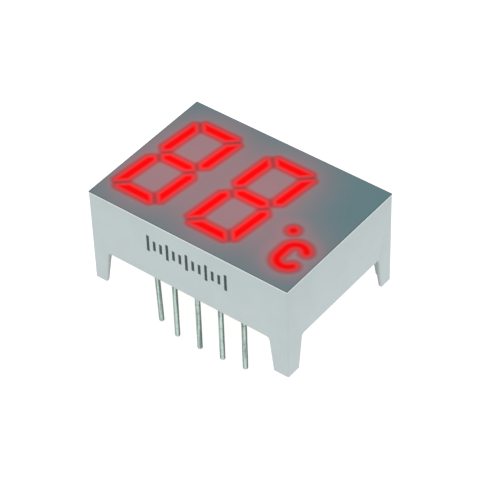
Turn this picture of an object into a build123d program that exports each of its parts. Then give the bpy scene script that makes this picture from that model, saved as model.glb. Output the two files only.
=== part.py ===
"""Two-digit seven segment display with a degree dot and a letter C, for through-hole mounting.

Units are millimetres. X runs along the digits from left to right, Y up the digits, and +Z out of the
lit face. The origin is the middle of the pin pattern at the seating plane, where the feet meet the
printed circuit board that the display is soldered to.
"""

import os
from math import sqrt

from build123d import *

# Outside of the case
BODY_WIDTH = 21.4
BODY_DEPTH = 15.1
FACE_HEIGHT = 10.1  # seating plane to the front of the film
RIM_HEIGHT = 3.75  # seating plane to the lower rim of the case
FILM_THICKNESS = 0.13
FILM_CORNER = 0.05  # the film is cut square, while the moulding's upright edges are rounded
EDGE_RADIUS = 0.15
WALL = 0.6

# Feet: each corner of the outer wall runs on down as an L of two wings
FOOT_THICKNESS_ROOT = 0.55
FOOT_THICKNESS_TIP = 0.28
FOOT_CHAMFER = 0.12
FOOT_ROOT_RADIUS = 0.3
FOOT_ROOT_MIDDLE = 0.3  # where the root's curve is half way, as a share of its radius
FOOT_EDGE = 0.08
FOOT_WINGS = {  # corner: (x side, y side, root and tip width of the wing along X, the same along Y)
    "front_right": (1, -1, (1.95, 1.55), (1.95, 1.5)),
    "front_left": (-1, -1, (1.7, 1.3), (1.8, 1.4)),
    "back_right": (1, 1, (1.8, 1.4), (1.8, 1.4)),
    "back_left": (-1, 1, (1.8, 1.4), (1.8, 1.4)),
}

# Inside of the case
BOARD_THICKNESS = 0.8
BOARD_CLEARANCE = 0.05
POTTING_THICKNESS = 0.8
POTTING_RECESS = 0.2
HEAD_CHANNEL_WIDTH = 1.2
HEAD_CHANNEL_HEIGHT = 0.7
HEAD_CHANNEL_SPARE = 1.2

# Pins
PIN_PITCH = 2.54
ROW_SPACING = 12.7
PIN_DIAMETER = 0.5
PIN_TIP_RADIUS = 0.18
PIN_HEAD = 0.3
SHANK_SIDE = 0.443  # inside the body the wire is pressed to a square of the same area
PINS_IN_ROW = 5
FRONT_TIPS = (-3.9, -3.65, -3.7, -3.55, -3.2)  # pins 1 to 5, left to right
BACK_TIPS = (-3.6, -3.7, -3.55, -3.65, -3.6)  # pins 6 to 10, right to left
PIN_1_LEAN_START = 3.3  # pin 1 has been pushed inwards: it leaves the body at an angle
PIN_1_LEAN_END = 1.6
PIN_1_SHIFT = 0.66
PIN_1_TIP_SHIFT = 0.87
PIN_1_BEND_RADIUS = 1.2

# Digits
DIGIT_CENTRES = {"left": (-6.8, -0.04), "right": (1.29, -0.04)}
DIGIT_SLANT = 0.0976  # X shift for each millimetre of height
HALF_PITCH_X = 2.12  # digit centre to the middle of its upright segments
HALF_PITCH_Y = 5.125  # digit centre to the middle of its top and bottom segments
SEGMENT_HALF = 0.6
SEGMENT_CORNER = 0.1
OUTER_REACH = 2.15  # digit centre line to the tips of the top and bottom segments
MIDDLE_REACH = 1.92
UPRIGHT_TOP = 5.22  # digit centre to the outer tips of the upright segments
UPRIGHT_FOOT = 0.29
TIP_SHARE = 0.52  # how far the outer tips stand out, as a share of a segment's half width

# Degree dot and letter C
DOT_CENTRE = (6.63, -1.2)
DOT_RADIUS = 0.6
DOT_INSET = 0.08
DOT_CHIP_SHIFT = 0.2
LETTER_CENTRE = (8.42, -3.78)
LETTER_RADIUS = 0.95  # of the stroke's middle line, at the top and at the bottom
LETTER_STRAIGHT = 1.0
LETTER_STROKE = 1.08
LETTER_ARM_ANGLE = 32

# Light cavities narrow towards the board
CAVITY_INSET = 0.27

# Light sources on the board
CHIP_SIZE = 0.28
CHIP_HEIGHT = 0.18
PAD_THICKNESS = 0.035
DIE_PAD = 0.36
BOND_PAD = 0.22
BOND_REACH = 0.52
WIRE_DIAMETER = 0.03
WIRE_RISE = 0.22

# Solder around the pins on the front of the board
SOLDER_RADIUS = 0.52
SOLDER_CLIMB = 0.24
SOLDER_EDGE = 0.04

CASE_TOP = FACE_HEIGHT - FILM_THICKNESS
POTTING_BOTTOM = RIM_HEIGHT + POTTING_RECESS
BOARD_BACK = POTTING_BOTTOM + POTTING_THICKNESS
BOARD_FRONT = BOARD_BACK + BOARD_THICKNESS
PAD_TOP = BOARD_FRONT + PAD_THICKNESS
CHIP_TOP = PAD_TOP + CHIP_HEIGHT
PIN_TOP = BOARD_FRONT + PIN_HEAD
PIN_RADIUS = PIN_DIAMETER / 2
SHANK_BOTTOM = RIM_HEIGHT
SHANK_REACH = SHANK_SIDE / sqrt(2)
ROW_Y = ROW_SPACING / 2
INNER_WIDTH = BODY_WIDTH - 2 * WALL
INNER_DEPTH = BODY_DEPTH - 2 * WALL


def save(piece, label):
    """Labels a finished piece and writes it as its own STEP file."""
    piece.part.label = label
    export_step(piece.part, f"parts/{label}.step")


def slanted(centre, u, v):
    """A point of a digit, given across and up from its centre, after the slant."""
    return (centre[0] + u + v * DIGIT_SLANT, centre[1] + v)


def bar_outline(half_length, tip_share, inset):
    """A lying segment, across and up from its middle. The tips stand up by a share of its half width."""
    half = SEGMENT_HALF - inset
    tip = half * tip_share
    reach = half_length - inset * sqrt(2)
    upper = reach - half + tip
    lower = reach - half - tip
    return [(-reach, tip), (-upper, half), (upper, half), (reach, tip), (lower, -half), (-lower, -half)]


def upright_outline(inset):
    """The upper left segment, across and up from the digit's centre."""
    half = SEGMENT_HALF - inset
    top = UPRIGHT_TOP - inset * sqrt(2)
    foot = UPRIGHT_FOOT + inset * sqrt(2)
    middle = -HALF_PITCH_X
    tip = half * TIP_SHARE
    return [
        (middle - tip, top),
        (middle + half, top - half - tip),
        (middle + half, foot + half),
        (middle, foot),
        (middle - half, foot + half),
        (middle - half, top - half + tip),
    ]


def segment_outline(letter, inset):
    """Corners of one of a digit's segments, a to g, across and up from the digit's centre."""
    if letter == "g":
        return bar_outline(MIDDLE_REACH, 0.0, inset)
    if letter in "ad":
        side = 1 if letter == "a" else -1
        bar = bar_outline(OUTER_REACH, TIP_SHARE, inset)
        return [(u, side * (HALF_PITCH_Y + v)) for u, v in bar]
    across = 1 if letter in "fe" else -1
    up = 1 if letter in "fb" else -1
    return [(across * u, up * v) for u, v in upright_outline(inset)]


def segment_cavity(centre, letter):
    """The tapered light cavity of one segment, from the board to the film."""
    with BuildPart() as cavity:
        for height, inset in ((BOARD_FRONT, CAVITY_INSET), (CASE_TOP, 0.0)):
            corners = [slanted(centre, u, v) for u, v in segment_outline(letter, inset)]
            with BuildSketch(Plane.XY.offset(height)):
                with BuildLine():
                    FilletPolyline(*corners, radius=SEGMENT_CORNER, close=True)
                make_face()
        loft(ruled=True)
    return cavity.part


def dot_cavity():
    """The round light cavity of the degree dot."""
    with BuildPart() as cavity:
        with BuildSketch(Plane.XY.offset(BOARD_FRONT)):
            with Locations(DOT_CENTRE):
                Circle(DOT_RADIUS - DOT_INSET)
        with BuildSketch(Plane.XY.offset(CASE_TOP)):
            with Locations(DOT_CENTRE):
                Circle(DOT_RADIUS)
        loft(ruled=True)
    return cavity.part


def letter_cavity():
    """The light cavity of the letter C, a stroke of even width with rounded ends."""
    x, y = LETTER_CENTRE
    sweep_angle = 180 - LETTER_ARM_ANGLE
    with BuildPart() as cavity:
        for height, inset in ((BOARD_FRONT, CAVITY_INSET), (CASE_TOP, 0.0)):
            with BuildSketch(Plane.XY.offset(height)):
                with BuildLine():
                    upper = CenterArc((x, y + LETTER_STRAIGHT / 2), LETTER_RADIUS, LETTER_ARM_ANGLE, sweep_angle)
                    lower = CenterArc((x, y - LETTER_STRAIGHT / 2), LETTER_RADIUS, 180, sweep_angle)
                    Line(upper @ 1, lower @ 0)
                    offset(amount=LETTER_STROKE / 2 - inset)
                make_face()
        loft(ruled=True)
    return cavity.part


def cavities():
    """Name, cavity solid and light source places of every lit area."""
    areas = []
    for side, centre in DIGIT_CENTRES.items():
        for letter in "abcdefg":
            bar = segment_outline(letter, 0.0)
            u = (max(p[0] for p in bar) + min(p[0] for p in bar)) / 2
            v = (max(p[1] for p in bar) + min(p[1] for p in bar)) / 2
            lying = letter in "adg"
            spots = [(slanted(centre, u, v), lying)]
            areas.append((f"{side}_segment_{letter}", segment_cavity(centre, letter), spots))
    areas.append(("degree_dot", dot_cavity(), [((DOT_CENTRE[0] - DOT_CHIP_SHIFT, DOT_CENTRE[1]), True)]))
    rise = LETTER_STRAIGHT / 2 + LETTER_RADIUS
    arms = [((LETTER_CENTRE[0] - BOND_REACH / 2, LETTER_CENTRE[1] + side * rise), True) for side in (1, -1)]
    areas.append(("letter_c", letter_cavity(), arms))
    return areas


def source_frame(spot, lying):
    """The plane on the board where a light source sits, with its bond pad along local X."""
    direction = (1, 0, 0) if lying else (DIGIT_SLANT, 1, 0)
    return Plane(origin=(spot[0], spot[1], BOARD_FRONT), x_dir=direction, z_dir=(0, 0, 1))


def box_on(plane, across, along, size, bottom, height):
    """A small square block standing at a place of a plane."""
    with BuildPart() as block:
        with BuildSketch(plane.offset(bottom)):
            with Locations((across, along)):
                Rectangle(size, size)
        extrude(amount=height)
    return block.part


def source_pads(plane):
    """The die pad and the bond pad of one light source."""
    return [
        box_on(plane, 0, 0, DIE_PAD, 0, PAD_THICKNESS),
        box_on(plane, BOND_REACH, 0, BOND_PAD, 0, PAD_THICKNESS),
    ]


def bond_wire(plane):
    """The arched wire from the top of a light source to its bond pad."""
    start = plane.from_local_coords(Vector(0, 0, CHIP_TOP - BOARD_FRONT))
    middle = plane.from_local_coords(Vector(BOND_REACH / 2, 0, CHIP_TOP - BOARD_FRONT + WIRE_RISE))
    end = plane.from_local_coords(Vector(BOND_REACH, 0, PAD_THICKNESS))
    with BuildPart() as wire:
        with BuildLine() as path:
            ThreePointArc(start, middle, end)
        with BuildSketch(Plane(origin=path.line @ 0, z_dir=path.line % 0)):
            Circle(WIRE_DIAMETER / 2)
        sweep()
        chip_side = Plane(origin=start, z_dir=(0, 0, 1))
        split(bisect_by=chip_side.offset(-(CHIP_TOP - PAD_TOP)), keep=Keep.TOP)
    return wire.part


def make_case(areas):
    """The white case: outer wall, block with the light cavities, and four corner feet, moulded in one."""
    with BuildPart() as case:
        with BuildSketch(Plane.XY.offset(RIM_HEIGHT)):
            RectangleRounded(BODY_WIDTH, BODY_DEPTH, EDGE_RADIUS)
        extrude(amount=CASE_TOP - RIM_HEIGHT)
        with BuildSketch(Plane.XY.offset(RIM_HEIGHT)):
            Rectangle(INNER_WIDTH, INNER_DEPTH)
        extrude(amount=BOARD_FRONT - RIM_HEIGHT, mode=Mode.SUBTRACT)
        channel_length = (PINS_IN_ROW - 1) * PIN_PITCH + HEAD_CHANNEL_SPARE
        with BuildSketch(Plane.XY.offset(BOARD_FRONT)):
            with GridLocations(0, ROW_SPACING, 1, 2):
                Rectangle(channel_length, HEAD_CHANNEL_WIDTH)
        extrude(amount=HEAD_CHANNEL_HEIGHT, mode=Mode.SUBTRACT)
        for _, cavity, _ in areas:
            add(cavity, mode=Mode.SUBTRACT)
        for foot in feet():
            add(foot)
    return case


def foot_levels(widths):
    """Height, wing width, thickness and edge inset of a foot's sections, from the rim to the tip."""
    root, tip = widths
    levels = [(RIM_HEIGHT, root + FOOT_ROOT_RADIUS, 0.0)]
    halfway = FOOT_ROOT_MIDDLE * FOOT_ROOT_RADIUS
    levels.append((RIM_HEIGHT - halfway, root + halfway, 0.0))
    levels.append((RIM_HEIGHT - FOOT_ROOT_RADIUS, root, 0.0))
    levels.append((FOOT_CHAMFER, tip, 0.0))
    levels.append((FOOT_EDGE, tip - FOOT_CHAMFER + FOOT_EDGE, 0.0))
    levels.append((0.0, tip - FOOT_CHAMFER, FOOT_EDGE))
    return levels


def feet():
    """The four L-shaped corner feet."""
    made = []
    for x_side, y_side, along_x, along_y in FOOT_WINGS.values():
        with BuildPart() as foot:
            for (height, wing_x, inset), (_, wing_y, _) in zip(foot_levels(along_x), foot_levels(along_y)):
                share = height / RIM_HEIGHT
                thick = FOOT_THICKNESS_TIP + (FOOT_THICKNESS_ROOT - FOOT_THICKNESS_TIP) * share
                corner_x = BODY_WIDTH / 2
                corner_y = BODY_DEPTH / 2
                corners = [
                    (corner_x - inset, corner_y - inset),
                    (corner_x - wing_x, corner_y - inset),
                    (corner_x - wing_x, corner_y - thick),
                    (corner_x - thick, corner_y - thick),
                    (corner_x - thick, corner_y - wing_y),
                    (corner_x - inset, corner_y - wing_y),
                ]
                with BuildSketch(Plane.XY.offset(height)) as section:
                    with BuildLine():
                        Polyline(*[(x_side * x, y_side * y) for x, y in corners], close=True)
                    make_face()
                    outer = section.vertices().sort_by_distance((x_side * corner_x, y_side * corner_y))
                    fillet(outer[0], EDGE_RADIUS)
            loft(ruled=True)
        made.append(foot.part)
    return made


def pin_places():
    """Number, x, y and tip height of the ten pins, anticlockwise from the front left."""
    columns = [(i - (PINS_IN_ROW - 1) / 2) * PIN_PITCH for i in range(PINS_IN_ROW)]
    front = [(i + 1, x, -ROW_Y, FRONT_TIPS[i]) for i, x in enumerate(columns)]
    back = [(i + 1 + PINS_IN_ROW, x, ROW_Y, BACK_TIPS[i]) for i, x in enumerate(reversed(columns))]
    return front + back


def make_pin(number, x, y, tip):
    """A round tinned pin with a rounded tip and a square shank. Pin 1 is bent inwards below the body."""
    with BuildPart() as pin:
        with BuildLine() as path:
            if number == 1:
                FilletPolyline(
                    (x, y, SHANK_BOTTOM),
                    (x, y, PIN_1_LEAN_START),
                    (x, y + PIN_1_SHIFT, PIN_1_LEAN_END),
                    (x, y + PIN_1_TIP_SHIFT, tip),
                    radius=PIN_1_BEND_RADIUS,
                )
            else:
                Line((x, y, SHANK_BOTTOM), (x, y, tip))
        with BuildSketch(Plane(origin=path.line @ 0, z_dir=path.line % 0)):
            Circle(PIN_RADIUS)
        sweep()
        tip_face = pin.faces().sort_by(Axis.Z)[0]
        fillet(tip_face.edges(), PIN_TIP_RADIUS)
        with BuildSketch(Plane.XY.offset(SHANK_BOTTOM)):
            with Locations((x, y)):
                Rectangle(SHANK_SIDE, SHANK_SIDE)
        extrude(amount=PIN_TOP - SHANK_BOTTOM)
    return pin


def solder_cone(x, y):
    """The ring of solder around a pin on the front of the board."""
    with BuildPart() as cone:
        with BuildSketch(Plane.XY.offset(BOARD_FRONT)):
            with Locations((x, y)):
                Circle(SOLDER_RADIUS)
        with BuildSketch(Plane.XY.offset(BOARD_FRONT + SOLDER_CLIMB)):
            with Locations((x, y)):
                Circle(SHANK_REACH + SOLDER_EDGE)
        loft()
        with Locations((x, y, BOARD_FRONT)):
            Box(SHANK_SIDE, SHANK_SIDE, 2 * PIN_HEAD, mode=Mode.SUBTRACT)
    return cone.part


os.makedirs("parts", exist_ok=True)

lit_areas = cavities()
save(make_case(lit_areas), "reflector_case")

with BuildPart() as face_film:
    with BuildSketch(Plane.XY.offset(CASE_TOP)):
        RectangleRounded(BODY_WIDTH, BODY_DEPTH, FILM_CORNER)
    extrude(amount=FILM_THICKNESS)
save(face_film, "face_film")

pads = []
wires = []
for area_name, cavity, spots in lit_areas:
    inside = []
    for count, (spot, lying) in enumerate(spots):
        plane = source_frame(spot, lying)
        with BuildPart() as chip:
            add(box_on(plane, 0, 0, CHIP_SIZE, PAD_THICKNESS, CHIP_HEIGHT))
        suffix = f"_{count + 1}" if len(spots) > 1 else ""
        save(chip, f"chip_{area_name}{suffix}")
        wire = bond_wire(plane)
        inside += [chip.part, wire] + source_pads(plane)
        pads += source_pads(plane)
        wires.append(wire)
    with BuildPart() as light_pipe:
        add(cavity)
        for item in inside:
            add(item, mode=Mode.SUBTRACT)
    save(light_pipe, f"epoxy_{area_name}")

with BuildPart() as board_pads:
    for pad in pads:
        add(pad)
save(board_pads, "board_pads")

with BuildPart() as bond_wires:
    for wire in wires:
        add(wire)
save(bond_wires, "bond_wires")

with BuildPart() as circuit_board:
    with BuildSketch(Plane.XY.offset(BOARD_BACK)):
        Rectangle(INNER_WIDTH - 2 * BOARD_CLEARANCE, INNER_DEPTH - 2 * BOARD_CLEARANCE)
        for _, x, y, _ in pin_places():
            with Locations((x, y)):
                Rectangle(SHANK_SIDE, SHANK_SIDE, mode=Mode.SUBTRACT)
    extrude(amount=BOARD_THICKNESS)
save(circuit_board, "circuit_board")

with BuildPart() as potting:
    with BuildSketch(Plane.XY.offset(POTTING_BOTTOM)):
        Rectangle(INNER_WIDTH, INNER_DEPTH)
        for _, x, y, _ in pin_places():
            with Locations((x, y)):
                Rectangle(SHANK_SIDE, SHANK_SIDE, mode=Mode.SUBTRACT)
    extrude(amount=POTTING_THICKNESS)
save(potting, "potting")

with BuildPart() as solder_joints:
    for _, x, y, _ in pin_places():
        add(solder_cone(x, y))
save(solder_joints, "solder_joints")

for number, x, y, tip in pin_places():
    save(make_pin(number, x, y, tip), f"pin_{number}")
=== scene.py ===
"""Looks, stage and camera of a lit two-digit seven segment display with a degree dot and a letter C.

The script is laid out as an add-on: property groups hold the sizes and colours, one operator makes each
piece or group of like pieces, and a panel lists them. Lengths are metres in the frame of the CAD model:
X runs along the digits, Y up the digits, and Z out of the lit face.
"""

from math import cos, pi, radians, sin, sqrt

import bmesh
import bpy
import numpy as np
from mathutils import Matrix, Vector


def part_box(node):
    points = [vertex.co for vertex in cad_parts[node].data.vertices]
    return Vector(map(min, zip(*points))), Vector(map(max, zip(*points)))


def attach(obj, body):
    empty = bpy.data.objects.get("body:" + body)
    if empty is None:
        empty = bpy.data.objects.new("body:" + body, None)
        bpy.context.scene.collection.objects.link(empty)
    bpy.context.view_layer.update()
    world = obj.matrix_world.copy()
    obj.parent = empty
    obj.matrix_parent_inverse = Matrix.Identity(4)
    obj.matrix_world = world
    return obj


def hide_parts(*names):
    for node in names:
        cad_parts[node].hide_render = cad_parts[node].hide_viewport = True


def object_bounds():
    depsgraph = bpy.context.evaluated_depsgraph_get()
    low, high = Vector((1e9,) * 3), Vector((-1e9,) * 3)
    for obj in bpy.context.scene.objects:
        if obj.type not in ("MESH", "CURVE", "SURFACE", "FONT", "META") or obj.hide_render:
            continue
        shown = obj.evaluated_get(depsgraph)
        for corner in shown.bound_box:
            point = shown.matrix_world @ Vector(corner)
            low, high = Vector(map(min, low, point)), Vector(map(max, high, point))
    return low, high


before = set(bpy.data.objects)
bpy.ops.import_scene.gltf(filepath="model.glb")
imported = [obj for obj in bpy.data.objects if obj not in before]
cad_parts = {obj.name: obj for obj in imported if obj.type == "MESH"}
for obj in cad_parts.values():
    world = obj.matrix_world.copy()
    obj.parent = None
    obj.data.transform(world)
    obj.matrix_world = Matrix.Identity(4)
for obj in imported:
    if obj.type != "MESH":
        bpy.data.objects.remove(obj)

bl_info = {
    "name": "Seven segment display",
    "version": (1, 0, 0),
    "blender": (4, 5, 0),
    "location": "View3D > Sidebar > Display",
    "description": "Finishes a seven segment display around its CAD model and sets it on a pale stage",
    "category": "Object",
}

MM = 0.001
CAD_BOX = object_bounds()
SEGMENT_LETTERS = "abcdefg"
FRONT_PINS = 5
ALL_PINS = 10
DARK = (0.0, 0.0, 0.0)
WHITE = (1.0, 1.0, 1.0)
WELD_DISTANCE = 0.0005 * MM
FINE_RELIEF = 0.004 * MM
LIGHT_REACH = 3 * MM
SENSOR_WIDTH = 36.0
LIT_DISTANCES = ("segment_distance", "second_distance", "mark_distance")


# Properties


def length(name, description, millimetres):
    """A length property, with its default given in millimetres."""
    return bpy.props.FloatProperty(
        name=name,
        description=description,
        default=millimetres * MM,
        subtype="DISTANCE",
        unit="LENGTH",
        precision=5,
    )


def place(name, description, across, up):
    """A place on the face, with its default given in millimetres."""
    return bpy.props.FloatVectorProperty(
        name=name,
        description=description,
        size=2,
        default=(across * MM, up * MM),
        subtype="COORDINATES",
        unit="LENGTH",
        precision=5,
    )


def share(name, description, default, top=1.0):
    """A plain number from nothing to its top."""
    return bpy.props.FloatProperty(
        name=name, description=description, default=default, min=0.0, max=top, subtype="FACTOR"
    )


def turn(name, description, degrees):
    """An angle, with its default given in degrees."""
    return bpy.props.FloatProperty(
        name=name, description=description, default=radians(degrees), subtype="ANGLE", unit="ROTATION"
    )


def colour(name, description, red, green, blue):
    """A colour, with its default given as display values from 0 to 255."""
    return bpy.props.FloatVectorProperty(
        name=name,
        description=description,
        size=3,
        default=[linear(value) for value in (red, green, blue)],
        min=0.0,
        max=1.0,
        subtype="COLOR",
    )


def linear(value):
    """The scene-linear level of a display value from 0 to 255."""
    level = value / 255
    return level / 12.92 if level <= 0.04045 else ((level + 0.055) / 1.055) ** 2.4


class DigitSettings(bpy.types.PropertyGroup):
    """Sizes of the lit areas as the film shows them. Their corners are rounder than the cavities'."""

    left_centre: place("Left digit", "Centre of the left digit", -6.8, -0.04)
    right_centre: place("Right digit", "Centre of the right digit", 1.29, -0.04)
    slant: share("Slant", "Shift to the right for each unit of height", 0.0976)
    half_pitch_x: length("Half pitch across", "Digit centre to the middle of its uprights", 2.12)
    half_pitch_y: length("Half pitch up", "Digit centre to the middle of its top segment", 5.125)
    segment_half: length("Half width", "Half the width of a segment", 0.6)
    corner: length("Corner", "Radius of a segment's corners", 0.22)
    outer_reach: length("Outer reach", "Half length of the top and bottom segments", 2.15)
    middle_reach: length("Middle reach", "Half length of the middle segment", 1.92)
    upright_top: length("Upright top", "Digit centre to the outer tip of an upright", 5.22)
    upright_foot: length("Upright foot", "Digit centre to the inner tip of an upright", 0.29)
    tip_share: share("Tip", "How far outer tips stand out, as a share of the half width", 0.52)
    dot_centre: place("Degree dot", "Centre of the degree dot", 6.63, -1.2)
    dot_radius: length("Dot radius", "Radius of the degree dot", 0.6)
    letter_centre: place("Letter C", "Centre of the letter C", 8.36, -3.78)
    letter_radius: length("Letter radius", "Radius of the middle line of the letter's arcs", 0.95)
    letter_straight: length("Letter straight", "Straight part of the letter's back", 1.0)
    letter_stroke: length("Letter stroke", "Width of the letter's stroke", 1.08)
    letter_arm: turn("Letter arms", "Angle at which the letter's arms end", 32)


class FilmSettings(bpy.types.PropertyGroup):
    """Sizes and colours of the grey film over the face."""

    corner: length("Corner", "Radius of the film's corners", 0.05)
    edge: length("Edge", "Rounding of the film's cut edge", 0.03)
    border: length("Border", "Width of the slightly darker border", 0.14)
    step: length("Step", "Spacing of the film's mesh", 0.08)
    film_colour: colour("Film", "The film away from any light", 100, 127, 132)
    # Painted light: the cut edge gets this lighter colour where light gathers.
    edge_colour: colour("Cut edge", "The film's cut edge, where light gathers", 205, 213, 213)
    core_colour: colour("Lit core", "Light in the middle of a lit area", 228, 1, 4)
    halo_colour: colour("Halo", "Light that the film scatters with lit areas all around", 212, 0, 0)
    halo_reach: length("Halo reach", "How far the scattered light spreads", 2.0)


class CaseSettings(bpy.types.PropertyGroup):
    """Sizes and colours of the moulded case."""

    edge: length("Edges", "Rounding of the moulding's edges", 0.05)
    light_colour: colour("Plastic", "White plastic", 179, 190, 191)
    deep_colour: colour("Plastic, thick", "White plastic where it looks thicker", 176, 187, 188)
    ink_colour: colour("Ink", "Ink of the index marks on the front wall", 38, 58, 56)
    mark_half_width: length("Marks, half width", "Half the width of the row of marks", 4.2)
    mark_pitch: length("Mark pitch", "Spacing of the marks", 0.7)
    mark_stroke: length("Mark stroke", "Width of one mark", 0.3)
    mark_height: length("Mark height", "Height of a tall mark", 1.8)
    mark_centre: length("Mark centre", "Height of the row over the seating plane", 7.53)


class PinSettings(bpy.types.PropertyGroup):
    """Sizes and colours of the tinned pins. Pin 1 is bent inwards."""

    tip_radius: length("Tip", "Rounding of a pin's tip", 0.18)
    shank_side: length("Shank", "Side of the square shank inside the body", 0.443)
    rim_drop: length("Rim", "How far the shank reaches below the potting, to the case's rim", 0.2)
    lean_start: length("Lean start", "Height at which pin 1 starts to lean", 3.3)
    lean_end: length("Lean end", "Height at which pin 1 is almost upright again", 1.6)
    lean_shift: length("Lean shift", "Shift of pin 1 at the end of its lean", 0.66)
    tip_shift: length("Tip shift", "Shift of pin 1 at its tip", 0.87)
    bend_radius: length("Bend", "Radius of the bends of pin 1", 1.2)
    # Painted shade: the side of the wire this angle points to is painted darker on every pin.
    flank_turn: turn("Dark flank", "Side of the wire that is tarnished darker", 0)
    metal_colour: colour("Tin", "Tinned wire", 194, 213, 208)
    dull_colour: colour("Dull tin", "Tinned wire where it is dull", 176, 192, 186)
    # This colour also paints the shade down the wire's sides.
    streak_colour: colour("Streaks", "Tinned wire along its drawing streaks", 96, 110, 106)
    stain_colour: colour("Stain", "Specks of flux and oxide", 62, 66, 60)


class PottingSettings(bpy.types.PropertyGroup):
    """Sizes and colours of the epoxy that closes the back."""

    climb: length("Climb", "How far the resin climbs a pin", 0.17)
    reach: length("Reach", "How quickly the resin flattens out beside a pin", 0.16)
    wall_climb: length("Wall climb", "How far the resin climbs the wall", 0.1)
    clear_colour: colour("Resin", "Milky resin", 214, 210, 190)
    deep_colour: colour("Resin, thick", "Milky resin where it is thicker", 190, 184, 156)


class InnerSettings(bpy.types.PropertyGroup):
    """Colours of the parts inside the body."""

    laminate_colour: colour("Laminate", "Glass-fibre laminate", 196, 186, 132)
    resist_colour: colour("Weave", "Laminate between its threads", 170, 158, 104)
    gilt_colour: colour("Gilt", "Gold-plated copper", 226, 188, 108)
    chip_colour: colour("Chip", "Light chip", 150, 58, 48)
    solder_colour: colour("Solder", "Bright solder", 190, 192, 190)
    casting_colour: colour("Casting", "Milky casting", 226, 130, 124)


class StageSettings(bpy.types.PropertyGroup):
    """Camera, lights and floor."""

    azimuth: turn("Azimuth", "Camera turn from straight in front, towards the right", 39.03)
    elevation: turn("Elevation", "Camera height angle", 42.665)
    roll: turn("Roll", "Camera roll about its own axis", -2.08)
    distance: length("Distance", "Camera distance from the point it looks at", 196.5)
    aim_across: length("Aim across", "Point the camera looks at, along the digits", 0.211)
    aim_up: length("Aim up", "Point the camera looks at, up the digits", -0.472)
    aim_height: length("Aim height", "Point the camera looks at, over the seating plane", 5.005)
    lens: bpy.props.FloatProperty(
        name="Lens", description="Focal length", default=168.9, min=1.0, unit="CAMERA"
    )
    floor_size: length("Floor", "Side of the floor", 3000)
    floor_colour: colour("Floor", "Pale floor", 196, 196, 196)
    floor_glow: share("Floor glow", "Light that the floor gives off, as a lit table does", 0.65)
    sky: share("Sky", "Strength of the light from all around", 0.78, 4.0)
    key_power: bpy.props.FloatProperty(
        name="Key light", description="Power of the key light", default=0.55, min=0.0, unit="POWER"
    )
    fill_power: bpy.props.FloatProperty(
        name="Fill light", description="Power of the fill light", default=0.4, min=0.0, unit="POWER"
    )


# Shader building


class Wiring:
    """What building a material and building a Geometry Nodes tree have in common."""

    def feed(self, socket, value):
        """Links an output to an input, or sets the input to a plain value. None leaves it alone."""
        if isinstance(value, bpy.types.NodeSocket):
            self.tree.links.new(value, socket)
        elif value is not None:
            socket.default_value = value

    def add(self, kind, inputs, **choices):
        """Adds a node, makes its choices, and feeds the inputs that are given by name or number."""
        node = self.tree.nodes.new(kind)
        for choice, value in choices.items():
            setattr(node, choice, value)
        for key, value in inputs.items():
            self.feed(node.inputs[key], value)
        return node


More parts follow.
